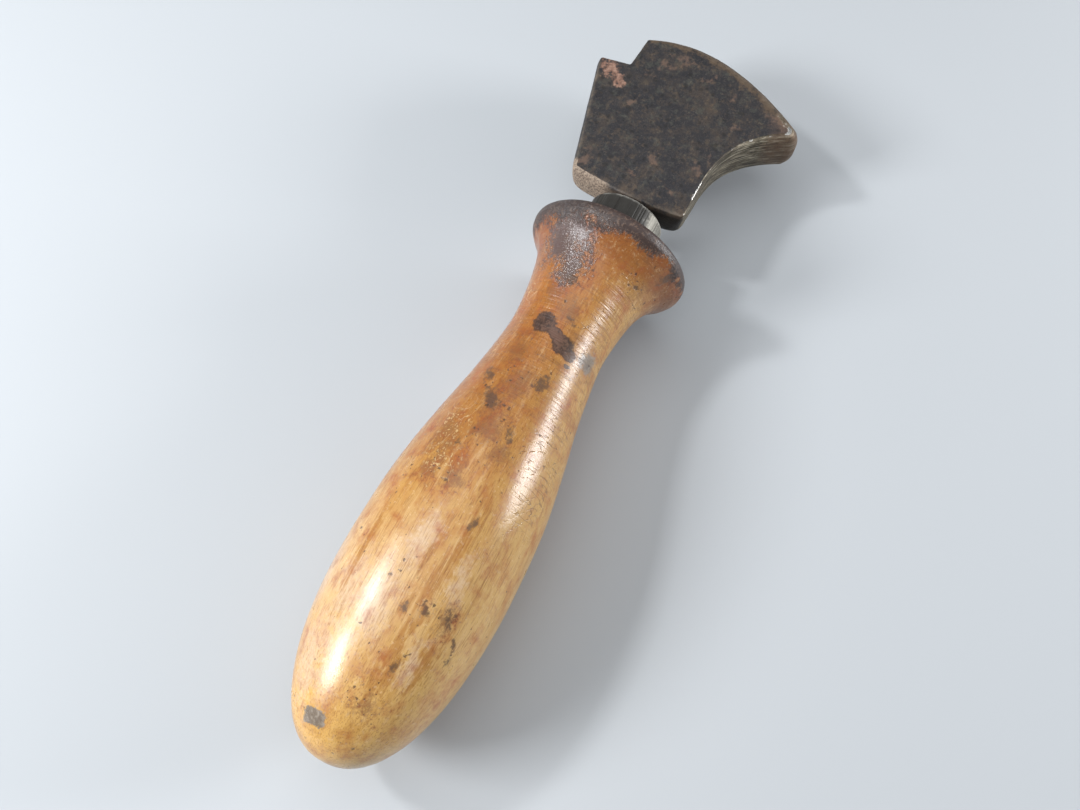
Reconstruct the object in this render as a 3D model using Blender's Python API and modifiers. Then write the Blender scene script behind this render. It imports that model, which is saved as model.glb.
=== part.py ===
"""Hand iron for edge finishing: a notched, beak-nosed steel head on a turned wooden handle.

The tool lies on its side. +X runs from the butt of the handle to the top of the head, +Z is the
outward normal of the head's front cheek, and the nose of the head points towards -Y. The origin is
the bottom centre of the tool's box. Shapes are drawn in millimetres along the tool's own axis, x
counted from the butt, and one empty carries them all into place.
"""
import bpy
import bmesh
import math
import numpy as np
from mathutils import Matrix, Vector

MM = 0.001
GAP = 0.3                   # clearance between pieces that touch

# Handle, turned between centres
BULB_LENGTH = 45.0          # from the butt to the fullest point
BULB_RADIUS = 19.0
WAIST_X = 103.5
WAIST_RADIUS = 12.0
LIP_X = 130.2               # widest point of the rounded lip
LIP_RADIUS = 20.15
LIP_ROUNDING = 2.0          # the lip loses this much radius before the flat end
SHOULDER_X = 131.6          # flat end of the handle
SPIGOT_END_X = 141.0        # short neck that the ferrule grips

# Ferrule
FERRULE_RADIUS = 9.5
FERRULE_WALL = 1.1
FERRULE_END_X = 142.3
FERRULE_ROUNDING = 0.7

# Tang: a square taper in the wood, a bolster disc, a round shank and a tenon in the head
TANG_TIP_X = 72.0
TANG_TIP_HALF = 1.6
TANG_ROOT_HALF = 3.5
BOLSTER_THICKNESS = 1.3
SHANK_RADIUS = 4.1
TENON_RADIUS = 2.3
TENON_LENGTH = 13.0

# Head: its outline on the front cheek, and how its sides swell between the two cheeks
FRONT_CHEEK = 4.3           # height of the front cheek over the axis
BASE_THICKNESS = 8.9        # at the head's base
THICKEN_UP = 0.11           # thickness gained per millimetre towards the top of the head
EDGE_ROUNDING = 0.5
HEAD_BASE_X = 145.9         # middle of the edge that faces the handle
TOE_CORNER = (146.6, -12.7)
HEEL_CORNER = (147.2, 16.9)
NOTCH_OUTER = (180.3, 25.7)
NOTCH_INNER = (181.7, 18.1)
NOTCH_TOP = (191.0, 17.4)
NOSE_CENTRE = (181.5, -25.9)
NOSE_RADIUS = 0.5
CROWN_SWELL = 3.6
CROWN_SWELL_AT_NOTCH = 0.7
HEEL_SWELL = 1.0
BASE_SWELL = 1.0

TURNED_STEPS = 48           # sides of a turned piece


# ---------------------------------------------------------------- curves and profiles
def bezier(p0, p1, p2, p3, count):
    """Points of one cubic curve, both ends included."""
    t = np.linspace(0.0, 1.0, count)[:, None]
    ends = (1 - t) ** 3 * np.array(p0) + t ** 3 * np.array(p3)
    return ends + 3 * t * (1 - t) ** 2 * np.array(p1) + 3 * t * t * (1 - t) * np.array(p2)


def smooth_through(stations, steps):
    """A Catmull-Rom curve through the stations, steps points to each gap."""
    pts = np.array(stations, dtype=float)
    padded = np.vstack([2 * pts[0] - pts[1], pts, 2 * pts[-1] - pts[-2]])
    runs = []
    for i in range(len(pts) - 1):
        a, b, c, d = padded[i:i + 4]
        runs.append(bezier(b, b + (c - a) / 6, c - (d - b) / 6, c, steps + 1)[:-1])
    return np.vstack(runs + [pts[-1:]])


def handle_outline():
    """(x, radius) from the butt to the end of the spigot."""
    angle = np.linspace(0.0, math.pi / 2, 12)
    from_widest = np.cos(angle)
    bulb = np.column_stack([
        BULB_LENGTH * (1 - from_widest),
        BULB_RADIUS * (1 - from_widest ** 2.4) ** (1 / 2.2),
    ])
    grip_and_lip = smooth_through([
        (BULB_LENGTH, BULB_RADIUS), (56, 18.6), (66, 17.6), (76, 16.0), (86, 14.15), (95, 12.8),
        (WAIST_X, WAIST_RADIUS), (112, 12.6), (118, 13.6), (122, 14.95), (125, 16.7), (127.4, 18.7),
        (129.0, 19.8), (LIP_X, LIP_RADIUS), (131.0, 19.85), (131.45, 19.2),
        (SHOULDER_X, LIP_RADIUS - LIP_ROUNDING),
    ], 2)
    spigot_radius = FERRULE_RADIUS - FERRULE_WALL - GAP
    neck = [(SHOULDER_X, spigot_radius), (SPIGOT_END_X, spigot_radius), (SPIGOT_END_X, 0.0)]
    return np.vstack([bulb, grip_and_lip[1:], neck])


def head_outline():
    """The front cheek's outline, anticlockwise from the toe, as rows of x, y and side swell."""
    sole_end = np.array(NOSE_CENTRE) + NOSE_RADIUS * np.array([math.cos(math.radians(210)), -0.5])
    fan = np.radians(np.linspace(225, 315, 7))
    crown_start = np.array(NOSE_CENTRE) + NOSE_RADIUS * np.array([math.cos(math.radians(-31)), -0.515])
    sole = bezier((156.0, -12.8), (168.3, -12.8), (175.6, -17.4), sole_end, 14)
    nose = np.array(NOSE_CENTRE) + NOSE_RADIUS * np.column_stack([np.cos(fan), np.sin(fan)])
    crown = bezier(crown_start, (191.8, -11.5), (196.3, 3.0), NOTCH_TOP, 20)
    rise = np.clip(np.linspace(1.0, 0.0, len(crown)) / 0.35, 0.0, 1.0)
    crown_swell = CROWN_SWELL_AT_NOTCH + (CROWN_SWELL - CROWN_SWELL_AT_NOTCH) * np.sin(rise * math.pi / 2)
    nose_swell = CROWN_SWELL * np.sin(np.linspace(0.35, 1.0, len(nose)) * math.pi / 2)
    fade = np.clip((np.linspace(0.0, 1.0, len(sole)) - 0.45) / 0.55, 0.0, 1.0)
    sole_swell = nose_swell[0] * fade * fade * (3 - 2 * fade)
    heel = np.linspace(NOTCH_OUTER, HEEL_CORNER, 6)
    base = bezier(HEEL_CORNER, (HEAD_BASE_X - 0.3, 8.0), (HEAD_BASE_X - 0.3, -6.0), TOE_CORNER, 10)[1:]
    sides = [
        (sole, sole_swell), (nose, nose_swell), (crown, crown_swell), ([NOTCH_INNER], 0.0),
        (heel, HEEL_SWELL), (base, BASE_SWELL),
    ]
    return np.vstack([np.column_stack([pts, np.broadcast_to(swell, len(pts))]) for pts, swell in sides])


def outward(points):
    """Unit normals of a closed anticlockwise outline, each the mean of its two edges'."""
    edges = np.roll(points, -1, axis=0) - points
    edges /= np.linalg.norm(edges, axis=1)[:, None]
    mean = edges + np.roll(edges, 1, axis=0)
    mean /= np.linalg.norm(mean, axis=1)[:, None]
    return np.column_stack([mean[:, 1], -mean[:, 0]])


def back_height(x):
    """Height of the back cheek, a plane that drops towards the top of the head."""
    return FRONT_CHEEK - BASE_THICKNESS - THICKEN_UP * (x - HEAD_BASE_X)


def head_sections():
    """Sections of the head from the front cheek to the back one, each an outline with heights."""
    rows = head_outline()
    points, swell = rows[:, :2], rows[:, 2]
    normals = outward(points)
    rounding = 2 * EDGE_ROUNDING / BASE_THICKNESS
    sections = []
    for level in (-1.0, -1.0 + rounding / 2, -0.85, -0.6, -0.3, 0.0, 0.3, 0.6, 0.85, 1.0 - rounding / 2, 1.0):
        bow = np.sqrt(max(0.0, 1.0 - level * level))
        inset = EDGE_ROUNDING * max(0.0, 1.0 - (1.0 - abs(level)) / rounding) ** 2
        placed = points + normals * (swell * bow - inset)[:, None]
        back = back_height(placed[:, 0])
        height = FRONT_CHEEK + (back - FRONT_CHEEK) * (level + 1.0) / 2
        sections.append(np.column_stack([placed, height]))
    return sections


# ---------------------------------------------------------------- Blender helpers
def clear_scene():
    for obj in list(bpy.data.objects):
        bpy.data.objects.remove(obj)


def new_collection(name):
    group = bpy.data.collections.new(name)
    bpy.context.scene.collection.children.link(group)
    return group


def principled(name, color, roughness, metallic):
    material = bpy.data.materials.new(name)
    material.use_nodes = True
    shader = material.node_tree.nodes["Principled BSDF"]
    shader.inputs["Base Color"].default_value = (*color, 1.0)
    shader.inputs["Roughness"].default_value = roughness
    shader.inputs["Metallic"].default_value = metallic
    return material


def add_object(name, mesh, group, parent, material=None):
    obj = bpy.data.objects.new(name, mesh)
    group.objects.link(obj)
    obj.parent = parent
    if material:
        mesh.materials.append(material)
    return obj


def turned(name, outline, group, parent, material=None, closed=False):
    """A solid of revolution about the tool's axis from (x, radius) points, last point first."""
    mesh = bpy.data.meshes.new(name)
    verts = [(radius * MM, 0.0, x * MM) for x, radius in reversed(list(outline))]
    edges = [(i, i + 1) for i in range(len(verts) - 1)]
    if closed:
        edges.append((len(verts) - 1, 0))
    mesh.from_pydata(verts, edges, [])
    obj = add_object(name, mesh, group, parent, material)
    obj.rotation_euler = (0.0, math.radians(90), 0.0)
    screw = obj.modifiers.new("turn", "SCREW")
    screw.axis = "Z"
    screw.steps = TURNED_STEPS
    screw.render_steps = TURNED_STEPS
    screw.use_merge_vertices = True
    screw.merge_threshold = 0.00001
    screw.use_smooth_shade = True
    return obj


def square_taper(name, x_tip, half_tip, x_root, half_root, group, parent):
    """A four-sided taper along the axis, flats facing up and sideways."""
    mesh = bpy.data.meshes.new(name)
    bm = bmesh.new()
    length = (x_root - x_tip) * MM
    bmesh.ops.create_cone(
        bm, cap_ends=True, segments=4, depth=length,
        radius1=half_tip * math.sqrt(2) * MM, radius2=half_root * math.sqrt(2) * MM,
        matrix=Matrix.Rotation(math.radians(45), 4, "Z"))
    bm.to_mesh(mesh)
    bm.free()
    obj = add_object(name, mesh, group, parent)
    obj.rotation_euler = (0.0, math.radians(90), 0.0)
    obj.location = ((x_tip + x_root) / 2 * MM, 0.0, 0.0)
    return obj


def hide_cutter(obj):
    obj.hide_render = True
    obj.display_type = "WIRE"


def combine(obj, other, operation):
    boolean = obj.modifiers.new(other.name, "BOOLEAN")
    boolean.operation = operation
    boolean.object = other
    boolean.solver = "EXACT"


# ---------------------------------------------------------------- the pieces
def make_handle(parts, cutters, axis):
    wood = principled("varnished_beech", (0.62, 0.27, 0.07), 0.3, 0.0)
    handle = turned("handle", handle_outline(), parts, axis, wood)
    reach = 0.5
    slope = (TANG_ROOT_HALF - TANG_TIP_HALF) / (SPIGOT_END_X - TANG_TIP_X)
    bore = square_taper(
        "tang_bore", TANG_TIP_X - GAP, TANG_TIP_HALF + GAP,
        SPIGOT_END_X + reach, TANG_ROOT_HALF + GAP + slope * reach, cutters, axis)
    hide_cutter(bore)
    combine(handle, bore, "DIFFERENCE")
    return handle


def make_ferrule(parts, axis):
    steel = principled("grey_steel", (0.36, 0.35, 0.32), 0.45, 1.0)
    start = SHOULDER_X + GAP
    turn = np.linspace(0.0, math.pi / 2, 5)
    crest = np.column_stack([
        FERRULE_END_X - FERRULE_ROUNDING + FERRULE_ROUNDING * np.sin(turn),
        FERRULE_RADIUS - FERRULE_ROUNDING * (1 - np.cos(turn)),
    ])
    inner = FERRULE_RADIUS - FERRULE_WALL
    outline = np.vstack([[(start, inner), (start, FERRULE_RADIUS)], crest, [(FERRULE_END_X, inner)]])
    return turned("ferrule", outline, parts, axis, steel, closed=True)


def shank_end_x():
    return HEAD_BASE_X - BASE_SWELL - GAP


def make_tang(parts, cutters, axis):
    black = principled("forge_black_steel", (0.09, 0.08, 0.075), 0.6, 1.0)
    disc_start = SPIGOT_END_X + GAP
    disc_end = disc_start + BOLSTER_THICKNESS
    disc_radius = FERRULE_RADIUS - FERRULE_WALL - 1.5 * GAP
    shank_end = shank_end_x()
    tenon_end = shank_end + TENON_LENGTH
    outline = [
        (disc_start, 0.0), (disc_start, disc_radius), (disc_end, disc_radius - 0.4),
        (disc_end, SHANK_RADIUS), (shank_end, SHANK_RADIUS), (shank_end, TENON_RADIUS),
        (tenon_end - 0.6, TENON_RADIUS), (tenon_end, TENON_RADIUS - 0.6), (tenon_end, 0.0),
    ]
    tang = turned("tang", outline, parts, axis, black)
    spike = square_taper(
        "tang_spike", TANG_TIP_X, TANG_TIP_HALF, disc_start + 0.5, TANG_ROOT_HALF, cutters, axis)
    hide_cutter(spike)
    combine(tang, spike, "UNION")
    return tang


def lofted(name, sections, group, parent, material):
    """A closed solid through the sections, the first and the last filled flat."""
    mesh = bpy.data.meshes.new(name)
    bm = bmesh.new()
    rings = [[bm.verts.new(Vector(point) * MM) for point in section] for section in sections]
    count = len(rings[0])
    for upper, lower in zip(rings[:-1], rings[1:]):
        for i in range(count):
            j = (i + 1) % count
            bm.faces.new((upper[i], lower[i], lower[j], upper[j]))
    bm.faces.new(rings[0])
    bm.faces.new(reversed(rings[-1]))
    bm.to_mesh(mesh)
    bm.free()
    obj = add_object(name, mesh, group, parent, material)
    mesh.shade_smooth()
    mesh.set_sharp_from_angle(angle=math.radians(35))
    return obj


def make_head(parts, cutters, axis):
    steel = principled("dark_patina_steel", (0.13, 0.11, 0.10), 0.5, 1.0)
    head = lofted("head", head_sections(), parts, axis, steel)
    bore_start = HEAD_BASE_X - BASE_SWELL - 2
    bore_end = shank_end_x() + TENON_LENGTH + GAP
    bore = turned(
        "tenon_bore",
        [(bore_start, 0), (bore_start, TENON_RADIUS + GAP), (bore_end, TENON_RADIUS + GAP), (bore_end, 0)],
        cutters, axis)
    hide_cutter(bore)
    combine(head, bore, "DIFFERENCE")
    return head


def main():
    clear_scene()
    parts = new_collection("edge_iron")
    cutters = new_collection("cutters")
    axis = bpy.data.objects.new("tool_axis", None)
    parts.objects.link(axis)
    head = np.vstack(head_sections())
    top_x = head[:, 0].max()
    middle_y = (head[:, 1].min() + head[:, 1].max()) / 2
    axis.location = (-top_x / 2 * MM, -middle_y * MM, LIP_RADIUS * MM)
    make_handle(parts, cutters, axis)
    make_ferrule(parts, axis)
    make_tang(parts, cutters, axis)
    make_head(parts, cutters, axis)


main()
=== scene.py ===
"""Edge iron: a notched, beak-nosed steel head on a turned, varnished wooden handle.

The CAD frame gives every place and size, in metres. +X runs from the butt to the top of the head,
+Z is the outward normal of the head's front cheek, and the nose points towards -Y. Shapes are drawn
in millimetres along the tool's own axis, x counted from the butt, and placed() carries them over.
"""
import math
import bpy
import numpy as np
from mathutils import Matrix, Vector


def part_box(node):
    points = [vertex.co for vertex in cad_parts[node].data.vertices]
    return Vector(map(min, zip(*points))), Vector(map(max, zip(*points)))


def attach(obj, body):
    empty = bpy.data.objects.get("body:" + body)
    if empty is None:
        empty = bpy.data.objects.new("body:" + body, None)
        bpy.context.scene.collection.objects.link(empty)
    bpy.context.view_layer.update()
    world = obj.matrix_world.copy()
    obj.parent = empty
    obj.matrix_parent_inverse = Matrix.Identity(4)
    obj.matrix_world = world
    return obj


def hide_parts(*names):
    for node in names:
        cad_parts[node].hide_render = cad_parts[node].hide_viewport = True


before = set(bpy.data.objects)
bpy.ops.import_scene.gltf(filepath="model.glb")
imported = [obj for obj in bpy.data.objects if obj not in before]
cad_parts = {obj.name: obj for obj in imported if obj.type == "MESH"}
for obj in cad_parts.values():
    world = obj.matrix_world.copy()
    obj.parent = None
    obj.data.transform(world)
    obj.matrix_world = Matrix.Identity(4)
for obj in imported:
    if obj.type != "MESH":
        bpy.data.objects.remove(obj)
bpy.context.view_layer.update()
MM = 0.001

# The tool's own axis in the CAD frame: where it starts at the butt, and its height
handle_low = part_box("handle")[0]
ferrule_low, ferrule_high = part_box("ferrule")
AXIS_START = Vector((handle_low[0], 0.5 * (ferrule_low[1] + ferrule_high[1]),
                     0.5 * (ferrule_low[2] + ferrule_high[2])))

# Handle, in millimetres
BULB_LENGTH = 45.0               # from the butt to the fullest point
BULB_RADIUS = 19.0
WAIST = (103.5, 12.0)            # place and radius of the thinnest point
LIP = (130.2, 20.15)             # place and radius of the widest point of the lip
SHOULDER = (131.6, 18.15)        # where the lip's rounding meets the flat end
SPIGOT_END = 141.0               # short neck that the ferrule grips
SPIGOT_RADIUS = 8.1
BORE_MOUTH = 5.35                # radius of the burnt-in hole for the tang
BORE_END = (71.7, 2.9)
LIP_LEANS = 0.8                  # the worn lip stands this far over towards the nose side
GROOVES = (125.9, 126.6, 127.3)  # fine turned grooves under the lip
DRAWN_IN = 0.12                  # the wood lies this far inside its size, so no bump stands past it
AROUND = 216                     # points in each ring of the handle

# Ferrule
FERRULE = (131.9, 142.3)         # where it starts and ends
FERRULE_RADIUS = 9.5
FERRULE_WALL = 1.1
FERRULE_ROUNDING = 0.75          # of the open mouth's outer edge
FLUTES = 78                      # crimp marks round the ferrule
FERRULE_AROUND = 936             # points in each ring of the ferrule, a dozen to a flute

# Head
FRONT_CHEEK = 4.3                # height of the front cheek over the axis
BASE_THICKNESS = 8.9
THICKEN_UP = 0.11                # thickness gained per millimetre towards the top of the head
HEAD_BASE = 145.9
TOE_CORNER = (146.6, -12.7)
SOLE_BEND = (156.0, -12.8)       # where the straight part of the sole turns into its hollow
HEEL_CORNER = (147.2, 16.9)
NOTCH_OUTER = (180.3, 25.7)
NOTCH_INNER = (181.7, 18.1)
NOTCH_TOP = (191.0, 17.4)
NOSE = (181.5, -25.9)
NOSE_RADIUS = 0.5
CROWN_SWELL = 3.56               # how far the sides bow out between the cheeks
NOTCH_SWELL = 0.7
BASE_SWELL = 1.0
FRONT_RIM = 0.35                 # rounding of the front cheek's rim
BACK_RIM = 0.7                   # rounding of the back cheek's rim
BACK_RIM_AT_BASE = 1.3           # and how much more of it there is beside the handle
HEAD_MIDDLE = (165.0, 3.0)       # every point of the outline can be seen from here
OUTLINE_POINTS = 560
SIDE_RINGS = 34                  # copies of the outline from the front cheek round to the back one
CHEEK_RINGS = 58                 # and from the front cheek's rim in to its middle
SOLE_RUN = (22.5, 25.5)          # middle and half length of the sole, as a distance round the outline
CROWN_RUN = (40.0, 88.0)         # start and end of the crown, as a distance round the outline
HEAD_PITS = 190


# ---------------------------------------------------------------- camera and light
CAMERA_DISTANCE = 229.0 * MM     # from the lens to where its line of sight crosses the tool
CROSSING_X = 88.5 * MM           # that place, counted from the butt
SIDE_STEP = 3.6 * MM             # the tool's axis passes this far to one side of it
LEAN = math.radians(19.3)        # the butt leans towards the lens
ROLL = math.radians(-8.8)        # the front cheek is turned a little about the tool's axis
UPWARD = math.radians(61.06)     # the axis rises this steeply across the view
LENS = 33.33
BOX_DISTANCE = 0.62              # metres from the soft boxes to the middle of the tool


def place_camera():
    """The tool's three directions are written in the lens's own right, down and forward, then the
    camera is set so that its line of sight crosses the axis at the chosen place."""
    level, rise = math.cos(UPWARD), math.sin(UPWARD)
    along = Vector((level * math.cos(LEAN), -rise * math.cos(LEAN), math.sin(LEAN)))
    out = Vector((level * math.sin(LEAN), -rise * math.sin(LEAN), -math.cos(LEAN)))
    side = Vector((rise, level, 0.0))
    cheek = math.cos(ROLL) * out + math.sin(ROLL) * side
    nose = math.cos(ROLL) * side - math.sin(ROLL) * out
    tool_in_lens = Matrix((along, -nose, cheek))
    crossing = Vector((0.0, 0.0, CAMERA_DISTANCE)) - SIDE_STEP * side
    target = AXIS_START + Vector((CROSSING_X, 0.0, 0.0))
    location = target - tool_in_lens @ crossing
    right, down, forward = (tool_in_lens.col[i] for i in range(3))
    turn = Matrix((right, -down, -forward)).transposed()
    data = bpy.data.cameras.new("camera")
    data.lens = LENS
    data.sensor_width = 36.0
    data.sensor_fit = "HORIZONTAL"
    data.clip_start = 0.01
    camera = bpy.data.objects.new("camera", data)
    bpy.context.scene.collection.objects.link(camera)
    camera.matrix_world = Matrix.Translation(location) @ turn.to_4x4()
    bpy.context.scene.camera = camera


def area_light(name, direction, distance, size, power, color):
    """A rectangular soft box at a distance from the middle of the tool, facing it."""
    data = bpy.data.lights.new(name, "AREA")
    data.shape = "RECTANGLE"
    data.size, data.size_y = size
    data.energy = power
    data.color = color
    lamp = bpy.data.objects.new(name, data)
    bpy.context.scene.collection.objects.link(lamp)
    way = Vector(direction).normalized()
    place = Vector((0.0, 0.0, AXIS_START.z)) + way * distance
    lamp.matrix_world = Matrix.Translation(place) @ (-way).to_track_quat("-Z", "Y").to_matrix().to_4x4()


def light_the_studio():
    """Three small soft boxes draw the long highlights on the wood, and a large one overhead and a
    dim sky fill the rest."""
    cool, neutral = (0.96, 0.98, 1.0), (0.98, 0.985, 1.0)
    area_light("box_heel_side", (-0.53, 0.66, 0.55), BOX_DISTANCE, (0.20, 0.17), 3.4, cool)
    area_light("box_heel_end", (-0.14, 0.68, 0.71), BOX_DISTANCE, (0.06, 0.06), 1.5, cool)
    area_light("box_nose_side", (0.50, -0.82, 0.27), BOX_DISTANCE, (0.20, 0.17), 3.0, neutral)
    area_light("overhead", (0.1, 0.15, 1.0), 0.9, (0.9, 0.9), 3.2, (0.95, 0.98, 1.0))
    world = bpy.data.worlds.new("studio")
    world.use_nodes = True
    sky = world.node_tree.nodes["Background"]
    sky.inputs["Color"].default_value = (0.86, 0.93, 1.0, 1.0)
    sky.inputs["Strength"].default_value = 0.20
    bpy.context.scene.world = world


# ---------------------------------------------------------------- curves
def bezier(p0, p1, p2, p3, count):
    """Points of one cubic curve, both ends included."""
    t = np.linspace(0.0, 1.0, count)[:, None]
    ends = (1 - t) ** 3 * np.array(p0) + t ** 3 * np.array(p3)
    return ends + 3 * t * (1 - t) ** 2 * np.array(p1) + 3 * t * t * (1 - t) * np.array(p2)


def smooth_through(stations, steps):
    """A Catmull-Rom curve through the stations, steps points to each gap."""
    pts = np.array(stations, dtype=float)
    padded = np.vstack([2 * pts[0] - pts[1], pts, 2 * pts[-1] - pts[-2]])
    runs = []
    for i in range(len(pts) - 1):
        a, b, c, d = padded[i:i + 4]
        runs.append(bezier(b, b + (c - a) / 6, c - (d - b) / 6, c, steps + 1)[:-1])
    return np.vstack(runs + [pts[-1:]])


def spaced(curve, gaps):
    """The curve resampled so that the step at each x is about gaps(x): equal steps of the summed
    length over gap."""
    length = np.linalg.norm(np.diff(curve, axis=0), axis=1)
    weight = length / gaps(0.5 * (curve[1:, 0] + curve[:-1, 0]))
    run = np.concatenate([[0.0], np.cumsum(weight)])
    even = np.linspace(0.0, run[-1], int(round(run[-1])) + 1)
    return np.column_stack([np.interp(even, run, side) for side in curve.T])


def fade(value, low, high):
    """A smooth step from 0 at low to 1 at high."""
    t = np.clip((value - low) / (high - low), 0.0, 1.0)
    return t * t * (3 - 2 * t)


def ripple(points, pitch, seed, waves=28):
    """Random unevenness, mostly between -1 and 1: the sum of plane waves in random directions, with
    wavelengths near the pitch."""
    rng = np.random.default_rng(seed)
    way = rng.normal(size=(waves, 3))
    way /= np.linalg.norm(way, axis=1)[:, None]
    number = 2 * math.pi / (np.array(pitch) * rng.uniform(0.6, 1.7, (waves, 1)))
    phase = rng.uniform(0, 2 * math.pi, waves)
    return np.sin(points @ (way * number).T + phase).sum(axis=1) * math.sqrt(1.0 / waves)


# ---------------------------------------------------------------- meshes
def placed(points):
    """Millimetres along the tool's own axis, as metres in the frame."""
    return points * MM + np.array(AXIS_START)


def ring_faces(rows, columns, closed_rows=False):
    """Quads of a grid whose rows are closed rings; the last row also joins the first when asked."""
    row = np.arange(rows if closed_rows else rows - 1)[:, None] * columns
    column = np.arange(columns)[None, :]
    nxt = (column + 1) % columns
    below = (row + columns) % (rows * columns)
    return np.stack([row + column, row + nxt, below + nxt, below + column], axis=-1).reshape(-1, 4)


def cap_faces(first, columns, pole):
    """Triangles from one ring of a grid to a single pole point."""
    column = np.arange(columns)
    return np.column_stack([first + column, np.full(columns, pole), first + (column + 1) % columns])


def enclosed(points, quads, triangles):
    """Signed volume inside the faces: positive when they face outwards."""
    both = np.vstack([quads[:, [0, 1, 2]], quads[:, [0, 2, 3]], triangles])
    a, b, c = (points[both[:, k]] for k in range(3))
    return np.einsum("ij,ij->i", a, np.cross(b, c)).sum()


def add_piece(name, points, quads, triangles, material, fields):
    """A finished piece that rides on the tool, with one point attribute for each field."""
    if enclosed(points - points.mean(axis=0), quads, triangles) < 0:
        quads, triangles = quads[:, ::-1], triangles[:, ::-1]
    mesh = bpy.data.meshes.new(name)
    mesh.from_pydata(placed(points).tolist(), [], quads.tolist() + triangles.tolist())
    for label, values in fields.items():
        wide = values.ndim == 2
        layer = mesh.attributes.new(label, "FLOAT_VECTOR" if wide else "FLOAT", "POINT")
        layer.data.foreach_set("vector" if wide else "value", values.astype(np.float32).ravel())
    mesh.shade_smooth()
    mesh.materials.append(material)
    piece = bpy.data.objects.new(name, mesh)
    bpy.context.scene.collection.objects.link(piece)
    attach(piece, "root")
    return piece


def spots(along, across, marks, square=False):
    """How deep each point lies inside the nearest mark: 1 at its middle, 0 on its rim, -1 outside.
    A mark is its middle and its half sizes, along and across."""
    deepest = np.full(along.shape, -1.0)
    for middle, centre, half_along, half_across in marks:
        a = (along - middle) / half_along
        b = across(centre) / half_across
        away = (a ** 4 + b ** 4) ** 0.25 if square else np.hypot(a, b)
        deepest = np.maximum(deepest, 1.0 - away)
    return deepest


def lines(along, across, routes, reach=1.0):
    """1 on the nearest route, falling to 0 at the reach. A route is straight runs between stations,
    each a place from the butt and an angle, and the distance is to the nearest point of a run."""
    nearest = np.full(along.shape, 1e3)
    for route in routes:
        for (x0, c0), (x1, c1) in zip(route[:-1], route[1:]):
            run = np.hypot(x1 - x0, across(c0) - across(c1))
            here = np.stack([along - x0, across(c0)])
            end = np.stack([np.full(along.shape, x1 - x0), across(c0) - across(c1)])
            share = np.clip((here * end).sum(axis=0) / np.maximum(run, 1e-6) ** 2, 0.0, 1.0)
            nearest = np.minimum(nearest, np.hypot(*(here - share * end)))
    return np.clip(1.0 - nearest / reach, 0.0, 1.0)


# ---------------------------------------------------------------- handle
# Marks on the wood: each has its place from the butt in millimetres, its angle round the axis in
# degrees (0 is the nose side, 90 is up), and its half sizes along and across in millimetres
BURNS = [
    (102.1, 103, 2.9, 2.9), (100.7, 86, 1.7, 1.9), (99.2, 73, 2.6, 3.0), (98.0, 64, 2.0, 2.0),
    (95.0, 60, 0.6, 1.0),
]
STAINS = [
    (88.3, 74, 2.3, 2.3), (85.2, 123, 2.2, 1.4), (79.8, 105, 2.6, 2.5), (82.0, 113, 1.4, 0.9),
    (73.8, 77, 1.8, 1.9), (68.0, 107, 1.5, 0.7), (106.3, 81, 0.7, 1.6), (105.0, 74, 1.0, 0.9),
    (114.3, 98, 1.6, 1.8), (127.2, 29, 2.1, 2.4), (30.5, 41, 2.2, 0.8), (34.8, 55, 1.6, 1.1),
    (36.0, 58, 0.9, 0.8), (33.4, 52, 0.8, 1.0), (27.4, 39, 1.6, 1.0), (22.0, 69, 1.4, 0.8),
    (53.4, 70, 2.2, 0.8), (32.8, 81, 1.5, 1.3), (33.5, 71, 1.4, 1.0), (52.0, 216, 2.6, 2.2),
    (90.0, 251, 2.1, 2.5), (70.0, 322, 1.9, 1.6), (24.0, 284, 2.4, 1.5), (112.0, 213, 1.8, 2.2),
    (80.0, 170, 2.4, 1.3),
]
GREY_PATCHES = [(99.6, 35, 2.9, 2.6), (99.4, 46, 1.6, 2.0), (13.5, 240, 2.2, 2.6)]
AMBER_STREAKS = [
    (50.0, 70, 11.0, 1.5), (38.0, 74, 10.0, 1.7), (26.0, 75, 8.0, 1.3), (20.0, 70, 6.0, 1.6),
    (29.5, 71, 5.0, 1.0), (17.8, 79, 4.0, 1.2), (33.0, 81, 3.0, 1.2), (46.0, 84, 8.0, 0.8),
    (24.0, 52, 7.0, 1.4), (40.0, 128, 12.0, 1.5), (30.0, 200, 14.0, 2.0), (44.0, 262, 15.0, 2.4),
    (28.0, 320, 12.0, 1.8),
]
# faded wood, partly a painted sheen where the light washes over the bulb
BLEACHED_AND_SHEEN_PATCHES = [
    (31.0, 100, 13.0, 4.2), (46.0, 94, 9.0, 3.4), (24.0, 60, 6.0, 3.0), (42.0, 61, 8.0, 2.6),
    (33.0, 155, 13.0, 5.0), (16.0, 130, 13.0, 7.0), (30.0, 123, 13.0, 5.0), (36.0, 225, 15.0, 6.0),
    (50.0, 300, 14.0, 6.0),
]
GRIME_PATCHES = [
    (69.0, 123, 8.0, 4.0), (60.5, 118, 4.0, 3.0), (107.5, 85, 4.5, 3.8), (111.0, 112, 4.0, 3.5),
    (79.5, 103, 6.0, 4.0), (73.5, 93, 6.0, 4.5), (85.5, 92, 5.5, 4.5), (65.5, 112, 7.0, 3.2),
    (93.0, 112, 5.0, 3.2), (69.0, 78, 4.0, 2.6), (60.0, 96, 4.0, 3.0), (34.0, 58, 4.5, 3.0),
    (13.0, 72, 4.0, 3.5), (76.0, 190, 12.0, 5.0), (88.0, 270, 12.0, 5.0), (30.0, 260, 8.0, 6.0),
]
# painted reflection: a dark window pane beside the bulb's highlight, drawn as a grey square
REFLECTION_PATCHES = [(6.9, 111, 1.75, 2.9)]
HEATED_PATCHES = [(124.5, 74, 6.5, 9.0), (122.0, 86, 5.0, 5.0), (123.5, 250, 6.0, 22.0)]
SOOTY_PATCHES = [(123.0, 120, 8.5, 8.4), (116.8, 106, 4.5, 3.6), (122.0, 290, 8.0, 12.0)]
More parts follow.
